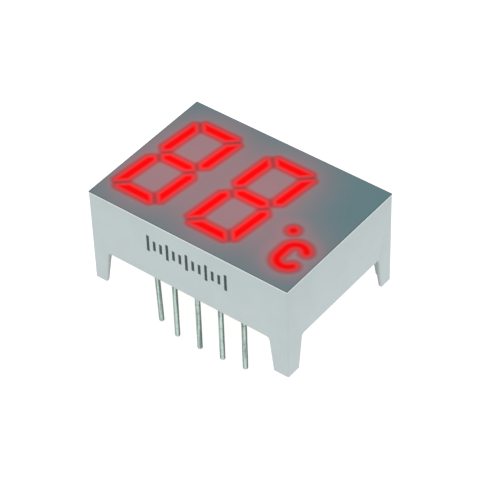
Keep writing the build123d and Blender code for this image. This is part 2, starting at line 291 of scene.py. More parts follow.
class Shading(Wiring):
    """One procedural material: a Principled shader and the nodes that feed it."""

    def __init__(self, name, roughness=0.5, metallic=0.0, specular=0.5, ior=1.5):
        self.material = bpy.data.materials.new(name)
        self.material.use_nodes = True
        self.tree = self.material.node_tree
        self.shader = self.tree.nodes["Principled BSDF"]
        self.shader.inputs["Roughness"].default_value = roughness
        self.shader.inputs["Metallic"].default_value = metallic
        self.shader.inputs["Specular IOR Level"].default_value = specular
        self.shader.inputs["IOR"].default_value = ior
        self.place = self.tree.nodes.new("ShaderNodeTexCoord").outputs["Object"]

    def axes(self):
        """The X, Y and Z outputs of the place."""
        return self.add("ShaderNodeSeparateXYZ", {0: self.place}).outputs

    def stretch(self, x, y, z):
        """The place, scaled by an own factor along each axis."""
        return self.add("ShaderNodeMapping", {"Vector": self.place, "Scale": (x, y, z)}).outputs["Vector"]

    def noise(self, grain, detail=2.0, place=None, warp=0.0):
        """Noise from 0 to 1, with features of the given size in metres."""
        inputs = {"Vector": place or self.place, "Scale": 1.0 / grain, "Detail": detail, "Distortion": warp}
        return self.add("ShaderNodeTexNoise", inputs).outputs["Fac"]

    def cells(self, grain, feature="F1"):
        """Distance to the nearest of scattered points, as a share of the grain in metres."""
        inputs = {"Vector": self.place, "Scale": 1.0 / grain}
        return self.add("ShaderNodeTexVoronoi", inputs, feature=feature).outputs["Distance"]

    def math(self, operation, first, second=0.0, third=0.0):
        """One math node."""
        inputs = {0: first, 1: second, 2: third}
        return self.add("ShaderNodeMath", inputs, operation=operation).outputs[0]

    def distance(self, first, second):
        """How far two numbers are apart."""
        return self.math("ABSOLUTE", self.math("SUBTRACT", first, second))

    def past_walls(self, high, width):
        """How far out of a centred block's middle a point is, from zero at the given width inside."""
        x, y, _ = self.axes()
        past = [self.math("SUBTRACT", self.distance(v, 0.0), high[i] - width) for i, v in ((0, x), (1, y))]
        return self.math("MAXIMUM", *past)

    def step(self, value, start, end, low=0.0, high=1.0):
        """A smooth step from low at start to high at end."""
        inputs = {0: value, 1: start, 2: end, 3: low, 4: high}
        return self.add("ShaderNodeMapRange", inputs, interpolation_type="SMOOTHSTEP").outputs[0]

    def mix(self, amount, first, second, blend="MIX"):
        """A mix of two colours."""
        inputs = {"Factor": amount}
        for key, value in ((6, first), (7, second)):
            inputs[key] = value if isinstance(value, bpy.types.NodeSocket) else (*value, 1.0)
        return self.add("ShaderNodeMix", inputs, data_type="RGBA", blend_type=blend).outputs[2]

    def attribute(self, name):
        """A number stored on the piece's own mesh."""
        return self.add("ShaderNodeAttribute", {}, attribute_name=name).outputs["Fac"]

    def bump(self, height, distance, strength=1.0):
        """Surface relief of the given depth in metres, over any relief fed before."""
        normal = self.shader.inputs["Normal"]
        before = normal.links[0].from_socket if normal.is_linked else None
        inputs = {"Strength": strength, "Distance": distance, "Height": height, "Normal": before}
        self.feed(normal, self.add("ShaderNodeBump", inputs).outputs["Normal"])

    def paint(self, base=None, roughness=None, metallic=None, light=None):
        """Feeds the shader's main inputs."""
        self.feed(self.shader.inputs["Base Color"], base)
        self.feed(self.shader.inputs["Roughness"], roughness)
        self.feed(self.shader.inputs["Metallic"], metallic)
        if light is not None:
            self.feed(self.shader.inputs["Emission Color"], light)
            self.shader.inputs["Emission Strength"].default_value = 1.0
        return self.material


# Piece building


def settings(name):
    """One of the scene's property groups."""
    return getattr(bpy.context.scene, "display_" + name)


def new_piece(name, mesh, slot, *nodes):
    """Puts a finished mesh in the scene as a piece that stands for CAD nodes."""
    piece = bpy.data.objects.new(name, mesh)
    bpy.context.collection.objects.link(piece)
    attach(piece, "root")
    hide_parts(*nodes)
    return piece


def give(material, *nodes):
    """Gives CAD nodes a finish."""
    for name in nodes:
        mesh = bpy.data.objects[name].data
        mesh.materials.clear()
        mesh.materials.append(material)


def nodes_called(*starts):
    """The names of the CAD nodes that start with one of the given words."""
    return sorted(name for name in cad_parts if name.startswith(starts))


def evaluated_mesh(name, make_modifiers, mesh=None):
    """The plain mesh that a helper object has once its modifiers are worked out."""
    helper = bpy.data.objects.new(name, mesh or bpy.data.meshes.new(name))
    bpy.context.collection.objects.link(helper)
    make_modifiers(helper)
    ready = helper.evaluated_get(bpy.context.evaluated_depsgraph_get())
    result = bpy.data.meshes.new_from_object(ready)
    helper.modifiers.clear()
    bpy.data.objects.remove(helper)
    result.name = name
    return result


def smooth(mesh, degrees):
    """Smooth shading, with edges steeper than the given angle kept sharp."""
    mesh.shade_smooth()
    mesh.set_sharp_from_angle(angle=radians(degrees))


class Growing(Wiring):
    """A Geometry Nodes tree with named inputs that ends in Realize Instances and Set Material."""

    def __init__(self, name, inputs):
        self.tree = bpy.data.node_groups.new(name, "GeometryNodeTree")
        for label, default in inputs.items():
            kind = "NodeSocketBool" if isinstance(default, bool) else "NodeSocketFloat"
            socket = self.tree.interface.new_socket(label, in_out="INPUT", socket_type=kind)
            socket.default_value = default
        self.tree.interface.new_socket("Mesh", in_out="OUTPUT", socket_type="NodeSocketGeometry")
        self.given = self.tree.nodes.new("NodeGroupInput").outputs

    def node(self, kind, *values, **choices):
        """Adds a node, makes its choices, and feeds its first inputs in order."""
        node = self.add(kind, {}, **choices)
        sockets = [socket for socket in node.inputs if socket.enabled]
        for socket, value in zip(sockets, values):
            self.feed(socket, value)
        return node

    def math(self, operation, first, second=None, third=None):
        """One math node."""
        return self.node("ShaderNodeMath", first, second, third, operation=operation).outputs[0]

    def vector(self, x=0.0, y=0.0, z=0.0):
        """A vector from its three parts."""
        return self.node("ShaderNodeCombineXYZ", x, y, z).outputs[0]

    def join(self, *parts):
        """Joins several meshes."""
        joined = self.node("GeometryNodeJoinGeometry")
        for part in reversed(parts):
            self.tree.links.new(part, joined.inputs[0])
        return joined.outputs[0]

    def weld(self, mesh):
        """A mesh with its touching vertices made one."""
        return self.add("GeometryNodeMergeByDistance", {0: mesh, "Distance": WELD_DISTANCE}).outputs[0]

    def moved(self, mesh, place):
        """A mesh, with the middle of its frame moved to a place."""
        return self.add("GeometryNodeTransform", {"Geometry": mesh, "Translation": place}).outputs[0]

    def thickened(self, sheet, thickness):
        """A closed slab with an upward-facing sheet as its underside."""
        raised = self.node("GeometryNodeExtrudeMesh", sheet, None, self.vector(z=1.0), thickness)
        raised.inputs["Individual"].default_value = False
        flipped = self.node("GeometryNodeFlipFaces", sheet).outputs[0]
        return self.weld(self.join(flipped, raised.outputs[0]))

    def end(self, result, material):
        """The tree's last nodes."""
        real = self.node("GeometryNodeRealizeInstances", result).outputs[0]
        painted = self.add("GeometryNodeSetMaterial", {0: real, "Material": material}).outputs[0]
        self.add("NodeGroupOutput", {0: painted})

    def mesh(self, name, **sizes):
        """The tree's mesh for the given sizes."""

        def add_modifier(helper):
            modifier = helper.modifiers.new(name, "NODES")
            modifier.node_group = self.tree
            for item in self.tree.interface.items_tree:
                key = item.name.lower().replace(" ", "_")
                if item.in_out == "INPUT" and key in sizes:
                    modifier[item.identifier] = sizes[key]

        return evaluated_mesh(name, add_modifier)


# The lit areas


def segment_corners(digits, letter):
    """Corners of a segment, across and up from its digit's centre."""
    half = digits.segment_half
    tip = half * digits.tip_share
    if letter in "adg":
        reach = digits.middle_reach if letter == "g" else digits.outer_reach
        lift = 0.0 if letter == "g" else tip
        bar = [(-reach, lift), (-reach + half - lift, half), (reach - half + lift, half)]
        bar += [(reach, lift), (reach - half - lift, -half), (-reach + half + lift, -half)]
        side = {"a": 1, "d": -1, "g": 0}[letter]
        return [(u, v) if side == 0 else (u, side * (digits.half_pitch_y + v)) for u, v in bar]
    middle = -digits.half_pitch_x
    top = digits.upright_top
    foot = digits.upright_foot
    upright = [(middle - tip, top), (middle + half, top - half - tip), (middle + half, foot + half)]
    upright += [(middle, foot), (middle - half, foot + half), (middle - half, top - half + tip)]
    across = 1 if letter in "fe" else -1
    up = 1 if letter in "fb" else -1
    return [(across * u, up * v) for u, v in upright]


def distance_to_polygon(x, y, corners):
    """Signed distance of points to a closed outline, negative inside."""
    nearest = np.full(x.shape, np.inf)
    inside = np.zeros(x.shape, bool)
    for (ax, ay), (bx, by) in zip(corners, corners[1:] + corners[:1]):
        ex, ey = bx - ax, by - ay
        along = np.clip(((x - ax) * ex + (y - ay) * ey) / (ex * ex + ey * ey), 0, 1)
        nearest = np.minimum(nearest, np.hypot(x - ax - along * ex, y - ay - along * ey))
        if ay != by:
            crossing = ax + (y - ay) * ex / ey
            inside ^= ((ay > y) != (by > y)) & (x < crossing)
    return np.where(inside, -nearest, nearest)


def shrunk(corners, amount):
    """A convex outline moved inwards by an amount."""
    area = sum(ax * by - bx * ay for (ax, ay), (bx, by) in zip(corners, corners[1:] + corners[:1]))
    points = [Vector(corner) for corner in (corners if area > 0 else corners[::-1])]
    moved = []
    for before, here, after in zip(points[-1:] + points[:-1], points, points[1:] + points[:1]):
        into = (here - before).normalized()
        out = (after - here).normalized()
        normals = Vector((-into.y, into.x)), Vector((-out.y, out.x))
        bisector = (normals[0] + normals[1]).normalized()
        moved.append(tuple(here + bisector * (amount / bisector.dot(normals[0]))))
    return moved


def segment_distances(digits, x, y):
    """Signed distances of points on the face to the nearest and to the second nearest segment."""
    nearest = np.full(x.shape, np.inf)
    second = nearest
    for centre in (digits.left_centre, digits.right_centre):
        for letter in SEGMENT_LETTERS:
            upright = segment_corners(digits, letter)
            slanted = [(centre[0] + u + v * digits.slant, centre[1] + v) for u, v in upright]
            core = shrunk(slanted, digits.corner)
            here = distance_to_polygon(x, y, core) - digits.corner
            second = np.minimum(second, np.maximum(nearest, here))
            nearest = np.minimum(nearest, here)
    return nearest, second


def mark_distance(digits, x, y):
    """Signed distance of points on the face to the degree dot or the letter C."""
    dot = np.hypot(x - digits.dot_centre[0], y - digits.dot_centre[1]) - digits.dot_radius
    u = x - digits.letter_centre[0]
    v = y - digits.letter_centre[1]
    half_straight = digits.letter_straight / 2
    radius = digits.letter_radius
    back = np.hypot(u + radius, v - np.clip(v, -half_straight, half_straight))
    arm = digits.letter_arm
    line = back
    for side in (1, -1):
        w = side * v - half_straight
        angle = np.arctan2(w, u)
        end = np.hypot(u - radius * cos(arm), w - radius * sin(arm))
        arc = np.where((angle >= arm) & (angle <= pi), np.abs(np.hypot(u, w) - radius), end)
        line = np.minimum(line, arc)
    return np.minimum(dot, line - digits.letter_stroke / 2)


def blurred(values, step, reach):
    """Values of a grid, spread by a bell curve of the given reach."""
    for axis in (0, 1):
        count = values.shape[axis]
        offsets = (np.arange(count)[:, None] - np.arange(count)[None, :]) * step
        weights = np.exp(-0.5 * (offsets / reach) ** 2) * step / (reach * sqrt(2 * pi))
        values = np.tensordot(weights, values, axes=(1, axis))
        values = np.moveaxis(values, 0, axis)
    return values


# The face film


def film_surface(low, high, film):
    """The film as a closed mesh: a fine grid on top, a rounded cut edge and a flat back."""
    inset = film.edge
    spans = [high[i] - low[i] - 2 * inset for i in (0, 1)]
    counts = [round(span / film.step) + 1 for span in spans]
    lines = [np.linspace(low[i] + inset, high[i] - inset, counts[i]) for i in (0, 1)]
    x, y = np.meshgrid(*lines, indexing="ij")
    radius = film.corner - inset
    middle_x = (low[0] + high[0]) / 2
    middle_y = (low[1] + high[1]) / 2
    over_x = np.abs(x - middle_x) - (spans[0] / 2 - radius)
    over_y = np.abs(y - middle_y) - (spans[1] / 2 - radius)
    out = np.hypot(over_x, over_y)
    corner = (over_x > 0) & (over_y > 0) & (out > radius)
    pull = np.where(corner, radius / np.maximum(out, radius), 1.0)
    x = np.where(corner, x - np.sign(x - middle_x) * over_x * (1 - pull), x)
    y = np.where(corner, y - np.sign(y - middle_y) * over_y * (1 - pull), y)

    mesh_maker = bmesh.new()
    grid = [
        [mesh_maker.verts.new((*point, high[2])) for point in zip(*column)]
        for column in zip(x, y)
    ]
    last_i, last_j = counts[0] - 1, counts[1] - 1
    for i in range(last_i):
        for j in range(last_j):
            mesh_maker.faces.new((grid[i][j], grid[i + 1][j], grid[i + 1][j + 1], grid[i][j + 1]))
    rim = [grid[i][0] for i in range(last_i)] + [grid[last_i][j] for j in range(last_j)]
    rim += [grid[i][last_j] for i in range(last_i, 0, -1)] + [grid[0][j] for j in range(last_j, 0, -1)]
    outwards = []
    for before, after in zip(rim[-1:] + rim[:-1], rim[1:] + rim[:1]):
        run = after.co - before.co
        outwards.append(Vector((run.y, -run.x, 0)).normalized())
    rings = [rim]
    for angle in (radians(30), radians(60), radians(90)):
        level = high[2] - inset * (1 - cos(angle))
        rings.append([
            mesh_maker.verts.new(Vector((v.co.x, v.co.y, level)) + way * (inset * sin(angle)))
            for v, way in zip(rim, outwards)
        ])
    rings.append([mesh_maker.verts.new((v.co.x, v.co.y, low[2])) for v in rings[-1]])
    for upper, lower in zip(rings, rings[1:]):
        for k, vertex in enumerate(upper):
            following = (k + 1) % len(upper)
            mesh_maker.faces.new((vertex, lower[k], lower[following], upper[following]))
    mesh_maker.faces.new(list(reversed(rings[-1])))
    mesh = bpy.data.meshes.new("grey_film")
    mesh_maker.to_mesh(mesh)
    mesh_maker.free()
    return mesh


def store(mesh, name, values):
    """Stores one number on each vertex of a mesh."""
    layer = mesh.attributes.new(name, "FLOAT", "POINT")
    layer.data.foreach_set("value", np.asarray(values, np.float32))


def store_light(mesh, digits, film, low, high):
    """Stores on the film how far each point is from the lit areas, in millimetres, and the halo."""
    places = np.empty(len(mesh.vertices) * 3, np.float32)
    mesh.vertices.foreach_get("co", places)
    x, y, _ = places.reshape(-1, 3).astype(float).T
    distances = (*segment_distances(digits, x, y), mark_distance(digits, x, y))
    for name, distance in zip(LIT_DISTANCES, distances):
        store(mesh, name, np.clip(distance, -LIGHT_REACH, LIGHT_REACH) / MM)

    step = 2 * film.step
    lines = [np.arange(low[i] - LIGHT_REACH, high[i] + LIGHT_REACH, step) for i in (0, 1)]
    gx, gy = np.meshgrid(*lines, indexing="ij")
    lit = np.minimum(segment_distances(digits, gx, gy)[0], mark_distance(digits, gx, gy)) < 0
    halo = blurred(lit.astype(float), step, film.halo_reach)
    i = np.clip((x - lines[0][0]) / step, 0, len(lines[0]) - 1.001)
    j = np.clip((y - lines[1][0]) / step, 0, len(lines[1]) - 1.001)
    i0, j0 = i.astype(int), j.astype(int)
    fi, fj = i - i0, j - j0
    near = halo[i0, j0] * (1 - fj) + halo[i0, j0 + 1] * fj
    next_one = halo[i0 + 1, j0] * (1 - fj) + halo[i0 + 1, j0 + 1] * fj
    store(mesh, "halo", near * (1 - fi) + next_one * fi)


def film_material(film, high):
    """Fine matt grey film, filled with red light over the lit areas and faintly around them."""
    look = Shading("grey_matt_film", specular=0.02)
    grain = look.noise(0.09 * MM, detail=3.0)
    cloud = look.noise(2.4 * MM, detail=3.0)
    waver = look.math("MULTIPLY_ADD", look.noise(0.35 * MM), 0.04, -0.02)
    distances = [look.math("ADD", look.attribute(name), waver) for name in LIT_DISTANCES]
    segment, _, mark = distances

    unlit = look.math("MULTIPLY_ADD", grain, 0.1, 0.95)
    for distance in distances:
        over = look.step(distance, -0.45, 0.02, high=0.3)
        beside = look.step(distance, 0.0, 0.55, high=0.7)
        unlit = look.math("MULTIPLY", unlit, look.math("ADD", over, beside))
    tone = look.mix(look.math("MULTIPLY", cloud, 0.06), film.film_colour, DARK)
    past = look.past_walls(high, film.border)
    rim = look.step(past, 0.0, film.border, high=0.35)
    base = look.mix(rim, look.mix(unlit, DARK, tone), DARK)

    bright = look.step(segment, 0.12, -0.32, high=0.58)
    soft = look.step(segment, 0.62, -0.1, high=0.42)
    mark_bright = look.step(mark, 0.48, -0.52, high=0.89)
    mark_soft = look.step(mark, 1.6, -0.2, high=0.11)
    glow = look.math("MAXIMUM", look.math("ADD", bright, soft), look.math("ADD", mark_bright, mark_soft))
    halo = look.math("MULTIPLY", look.attribute("halo"), look.math("MULTIPLY_ADD", cloud, 0.1, 0.95))
    core = look.mix(glow, DARK, film.core_colour)
    scattered = look.mix(halo, DARK, film.halo_colour)
    light = look.mix(1.0, core, scattered, "ADD")

    # Painted light on the cut edge below the top face.
    face = look.step(look.axes()["Z"], high[2] - 1.3 * film.edge, high[2] - 0.5 * film.edge)
    look.bump(grain, FINE_RELIEF, 0.4)
    look.bump(look.noise(0.6 * MM), 0.006 * MM, 0.2)
    return look.paint(
        base=look.mix(face, film.edge_colour, base),
        roughness=look.step(grain, 0.2, 0.8, low=0.44, high=0.56),
        light=look.mix(face, DARK, light),
    )


class DISPLAY_OT_face_film(bpy.types.Operator):
    """Make the grey film with the glowing digits, the degree dot and the letter C"""

    bl_idname = "display.face_film"
    bl_label = "Face film"

    def execute(self, context):
        film = settings("film")
        low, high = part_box("face_film")
        mesh = film_surface(low, high, film)
        store_light(mesh, settings("digits"), film, low, high)
        smooth(mesh, 50)
        mesh.materials.append(film_material(film, high))
        new_piece("grey_film", mesh, "face_film", "face_film")
        return {"FINISHED"}


# The case


def index_marks(look, case, front):
    """How much ink there is: a row of upright strokes on the front wall, every third one tall."""
    x, y, z = look.axes()
    place = look.math("DIVIDE", x, case.mark_pitch)
    number = look.math("ROUND", place)
    across = look.math("MULTIPLY", look.distance(place, number), case.mark_pitch)
    third = look.math("DIVIDE", number, 3.0)
    is_tall = look.math("LESS_THAN", look.distance(third, look.math("ROUND", third)), 0.1)
    half_tall = case.mark_height / 2
    half_short = 0.6 * half_tall
    half = look.math("MULTIPLY_ADD", is_tall, half_tall - half_short, half_short)
    rise = look.math("SUBTRACT", look.distance(z, case.mark_centre), half)
    soft, uneven = 0.02 * MM, 0.1 * MM
    waver = look.math("MULTIPLY_ADD", look.noise(0.12 * MM, detail=3.0), uneven, -uneven / 2)
    side = look.math("ADD", across, waver)
    stroke = look.step(side, case.mark_stroke / 2 + soft, case.mark_stroke / 2 - soft)
    inside = look.step(look.math("ADD", rise, waver), soft, -soft)
    row = look.math("LESS_THAN", look.distance(x, 0.0), case.mark_half_width + case.mark_pitch / 2)
    wall = look.math("LESS_THAN", y, front + 0.03 * MM)
    worn = look.step(look.noise(0.09 * MM, detail=4.0), 0.3, 0.42, low=0.78)
    marks = look.math("MULTIPLY", look.math("MULTIPLY", stroke, inside), look.math("MULTIPLY", row, wall))
    return look.math("MULTIPLY", marks, worn)


def plastic_material(case, low, high):
    """Cool white plastic: spark texture, printed marks, scuffed feet, a painted highlight on rubbed top
    edges and painted shade on the feet's inner faces.
    """
    rubbed_colour, scuff_colour, shade_colour = (0.8, 0.84, 0.84), (0.3, 0.34, 0.33), (0.1, 0.12, 0.12)
    width = 0.1 * MM
    tip_height = 0.6 * MM
    shade_top = 5.5 * MM
    look = Shading("white_moulded_plastic", specular=0.35, ior=1.49)
    z = look.axes()["Z"]
    cloud = look.noise(3.5 * MM, detail=4.0, warp=0.6)
    grain = look.noise(0.11 * MM, detail=3.0)
    outside = look.past_walls(high, width)
    # Painted highlight along the top outer edges, in patches like rubbed wear, which also leaves them a
    # little smoother.
    along = look.math("MINIMUM", outside, look.math("SUBTRACT", z, high[2] - width))
    patchy = look.step(look.noise(0.5 * MM), 0.3, 0.6, low=0.35)
    rubbed = look.math("MULTIPLY", look.step(along, 0.0, width), patchy)
    scuffs = look.step(look.noise(0.3 * MM, detail=4.0), 0.54, 0.68, high=0.22)
    scuffed = look.math("MULTIPLY", look.step(z, tip_height, 0.0), scuffs)
    # Painted shade on faces set back from the outer walls below the body: the feet's inner faces and the
    # recess.
    behind = look.step(outside, width - 0.02 * MM, width - 0.3 * MM, high=0.45)
    shaded = look.math("MULTIPLY", behind, look.step(z, shade_top, shade_top - 0.5 * MM))
    body = look.mix(look.step(cloud, 0.3, 0.7), case.light_colour, case.deep_colour)
    # Painted highlight on the top edges.
    body = look.mix(look.math("MULTIPLY", rubbed, 0.4), body, rubbed_colour)
    body = look.mix(scuffed, body, scuff_colour)
    body = look.mix(shaded, body, shade_colour)
    body = look.mix(index_marks(look, case, low[1]), body, case.ink_colour)
    rough = look.math("MULTIPLY_ADD", rubbed, -0.1, look.step(grain, 0.25, 0.75, low=0.42, high=0.56))
    look.bump(grain, FINE_RELIEF, 0.4)
    look.bump(cloud, 0.03 * MM, 0.08)
    return look.paint(base=body, roughness=rough)


class DISPLAY_OT_case(bpy.types.Operator):
    """Make the moulded case with its light cavities and its four feet, with softened edges"""

    bl_idname = "display.case"
    bl_label = "Case"

    def execute(self, context):
        case = settings("case")
        low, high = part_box("reflector_case")
        merged = bmesh.new()
        merged.from_mesh(bpy.data.objects["reflector_case"].data)
        bmesh.ops.remove_doubles(merged, verts=merged.verts, dist=WELD_DISTANCE)
        bmesh.ops.dissolve_limit(merged, angle_limit=radians(0.5), verts=merged.verts, edges=merged.edges)
        mesh = bpy.data.meshes.new("moulded_case")
        merged.to_mesh(mesh)
        merged.free()
        mesh.materials.clear()

        def soften(helper):
            bevel = helper.modifiers.new("Soft edges", "BEVEL")
            bevel.width = case.edge
            bevel.segments = 2
            bevel.limit_method = "ANGLE"
            bevel.angle_limit = radians(40)

        softened = evaluated_mesh("moulded_case", soften, mesh)
        smooth(softened, 35)
        softened.materials.append(plastic_material(case, low, high))
        new_piece("moulded_case", softened, "case_plastic", "reflector_case")
        return {"FINISHED"}


# The pins


def pin_tree(material):
    """A round pin along a line with two bends, rounded at its tip, with a square shank at its top."""
    grow = Growing("Tinned pin", {
        "Across": 0.0, "Up": 0.0, "Tip": -3.6 * MM, "Start": 3.75 * MM, "Top": 5.85 * MM,
        "Radius": 0.25 * MM, "Tip Radius": 0.18 * MM, "Shank Side": 0.443 * MM,
        "Lean Start": 3.3 * MM, "Lean End": 1.6 * MM, "Lean Shift": 0.0, "Tip Shift": 0.0,
        "Bend Radius": 1.2 * MM, "Bent": False, "Flank Turn": 0.0,
    })
    bend_steps, length_steps, sides = 14, 220, 20
    given = grow.given
    index = grow.node("GeometryNodeInputIndex").outputs[0]

    def by_index(*values):
        choice = grow.add("GeometryNodeIndexSwitch", {}, data_type="FLOAT")
        while len(choice.index_switch_items) < len(values):
            choice.index_switch_items.new()
        grow.feed(choice.inputs[0], index)
        for socket, value in zip(choice.inputs[1:], values):
            grow.feed(socket, value)
        return choice.outputs[0]

    into_shank = 0.1 * MM
    overlap = grow.math("ADD", given["Start"], into_shank)
    leaned = grow.math("ADD", given["Up"], given["Lean Shift"])
    tipped = grow.math("ADD", given["Up"], given["Tip Shift"])
    points = grow.node("GeometryNodeMeshLine", 4)
    path_place = grow.vector(
        given["Across"],
        by_index(given["Up"], given["Up"], leaned, tipped),
        by_index(overlap, given["Lean Start"], given["Lean End"], given["Tip"]),
    )
    placed = grow.node("GeometryNodeSetPosition", points.outputs[0], None, path_place).outputs[0]
    line = grow.node("GeometryNodeMeshToCurve", placed).outputs[0]
    fillet = {"Curve": line, "Radius": given["Bend Radius"], "Count": bend_steps}
    bent = grow.add("GeometryNodeFilletCurve", fillet, mode="POLY").outputs[0]
    either = {0: given["Bent"], "False": line, "True": bent}
    chosen = grow.add("GeometryNodeSwitch", either, input_type="GEOMETRY").outputs[0]
    resampled = grow.add("GeometryNodeResampleCurve", {"Curve": chosen, "Count": length_steps}).outputs[0]
    whole = grow.node("GeometryNodeSplineLength").outputs[0]
    gone = grow.node("GeometryNodeSplineParameter").outputs["Length"]
    from_tip = grow.math("MINIMUM", grow.math("SUBTRACT", whole, gone), given["Tip Radius"])
    missing = grow.math("SUBTRACT", given["Tip Radius"], from_tip)
    square = grow.math("MULTIPLY", given["Tip Radius"], given["Tip Radius"])
    rise = grow.math("SQRT", grow.math("SUBTRACT", square, grow.math("MULTIPLY", missing, missing)))
    radius = grow.math("ADD", grow.math("SUBTRACT", given["Radius"], given["Tip Radius"]), rise)
    sized = grow.add("GeometryNodeSetCurveRadius", {"Curve": resampled, "Radius": radius}).outputs[0]
    circle = grow.add("GeometryNodeCurvePrimitiveCircle", {"Resolution": sides, "Radius": 1.0}).outputs[0]
    # Each profile point keeps how far it lies towards the turned side; the material paints shade from it.
    way = grow.vector(grow.math("COSINE", given["Flank Turn"]), grow.math("SINE", given["Flank Turn"]))
    spot = grow.node("GeometryNodeInputPosition").outputs[0]
    sideways = grow.node("ShaderNodeVectorMath", spot, way, operation="DOT_PRODUCT").outputs["Value"]
    flank = {"Geometry": circle, "Name": "flank", "Value": sideways}
    ring = grow.add("GeometryNodeStoreNamedAttribute", flank).outputs[0]
    tube = grow.add("GeometryNodeCurveToMesh", {
        "Curve": sized, "Profile Curve": ring, "Fill Caps": True,
        "Scale": grow.node("GeometryNodeInputRadius").outputs[0],
    }).outputs[0]

    dents = grow.add("ShaderNodeTexNoise", {"Scale": 1.0 / (0.7 * MM), "Detail": 3.0}).outputs[0]
    depth = grow.math("MULTIPLY_ADD", dents, 0.02 * MM, -0.014 * MM)
    normal = grow.node("GeometryNodeInputNormal").outputs[0]
    push = grow.add("ShaderNodeVectorMath", {0: normal, "Scale": depth}, operation="SCALE").outputs[0]
    drawn = grow.node("GeometryNodeSetPosition", tube, None, None, push).outputs[0]

    height = grow.math("SUBTRACT", given["Top"], given["Start"])
    shank_size = grow.vector(given["Shank Side"], given["Shank Side"], height)
    shank = grow.node("GeometryNodeMeshCube", shank_size).outputs[0]
    middle = grow.math("MULTIPLY", grow.math("ADD", given["Top"], given["Start"]), 0.5)
    lifted = grow.moved(shank, grow.vector(given["Across"], given["Up"], middle))
    grow.end(grow.join(drawn, lifted), material)
    return grow


def tin_material(pins, rim):
    """Dull tinned wire with drawn streaks, worn patches, dark specks near the body and painted shade in
    bands down its sides.
    """
    look = Shading("tinned_wire")
    look.shader.inputs["Specular Tint"].default_value = (0.3, 0.34, 0.33, 1.0)
    streaks = look.noise(0.17 * MM, detail=2.0, place=look.stretch(1.0, 1.0, 0.04))
    fine = look.noise(0.06 * MM, detail=3.0, place=look.stretch(1.0, 1.0, 0.1))
    patches = look.noise(0.5 * MM, detail=4.0, place=look.stretch(1.0, 1.0, 0.5))
    z = look.axes()["Z"]
    near_body = look.step(z, rim - 3.4 * MM, rim - 0.6 * MM, low=0.25)
    specks = look.math("MULTIPLY", look.step(look.noise(0.24 * MM, detail=4.0), 0.57, 0.63), near_body)
    tip_wear = look.step(z, -2.6 * MM, -3.7 * MM, high=0.45)
    dull = look.math("MAXIMUM", look.step(patches, 0.4, 0.68), tip_wear)
    body = look.mix(look.math("MULTIPLY", dull, 0.7), pins.metal_colour, pins.dull_colour)
    body = look.mix(look.step(streaks, 0.5, 0.66, high=0.8), body, pins.streak_colour)
    body = look.mix(look.step(fine, 0.5, 0.75, high=0.2), body, pins.streak_colour)
    # Painted shade in bands down the wire: on the side the turn points to and along the sides square to it,
    # with edges broken up by the patches.
    flank = look.math("ADD", look.attribute("flank"), look.math("MULTIPLY_ADD", patches, 0.24, -0.12))
    body = look.mix(look.step(flank, 0.76, 0.96, high=0.8), body, pins.streak_colour)
    body = look.mix(look.step(look.distance(flank, 0.0), 0.34, 0.08, high=0.45), body, pins.streak_colour)
    body = look.mix(look.math("MULTIPLY", specks, 0.85), body, pins.stain_colour)
    rough = look.math("MULTIPLY_ADD", specks, 0.25, look.step(patches, 0.3, 0.7, low=0.26, high=0.42))
    metal = look.math("MULTIPLY_ADD", specks, -0.7, 0.92)
    look.bump(streaks, 0.012 * MM, 0.5)
    look.bump(fine, FINE_RELIEF, 0.5)
    return look.paint(base=body, roughness=rough, metallic=metal)


class DISPLAY_OT_pins(bpy.types.Operator):
    """Make the ten tinned pins, of which pin 1 is bent inwards"""

    bl_idname = "display.pins"
    bl_label = "Pins"

    def execute(self, context):
        pins = settings("pins")
        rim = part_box("potting")[0][2] - pins.rim_drop
        tree = pin_tree(tin_material(pins, rim))
        for number in range(1, ALL_PINS + 1):
            name = f"pin_{number}"
            low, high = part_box(name)
            radius = (high[0] - low[0]) / 2
            bent = number == 1
            mesh = tree.mesh(
                f"tinned_{name}",
                across=(low[0] + high[0]) / 2,
                up=low[1] + radius,
                tip=low[2],
                start=rim,
                top=high[2],
                radius=radius,
                tip_radius=pins.tip_radius,
                shank_side=pins.shank_side,
                lean_start=pins.lean_start,
                lean_end=pins.lean_end,
                lean_shift=pins.lean_shift if bent else 0.0,
                tip_shift=pins.tip_shift if bent else 0.0,
                bend_radius=pins.bend_radius,
                bent=bent,
                flank_turn=pins.flank_turn,
            )
            smooth(mesh, 50)
            new_piece(f"tinned_{name}", mesh, "tinned_wire", name)
        return {"FINISHED"}


# The potting


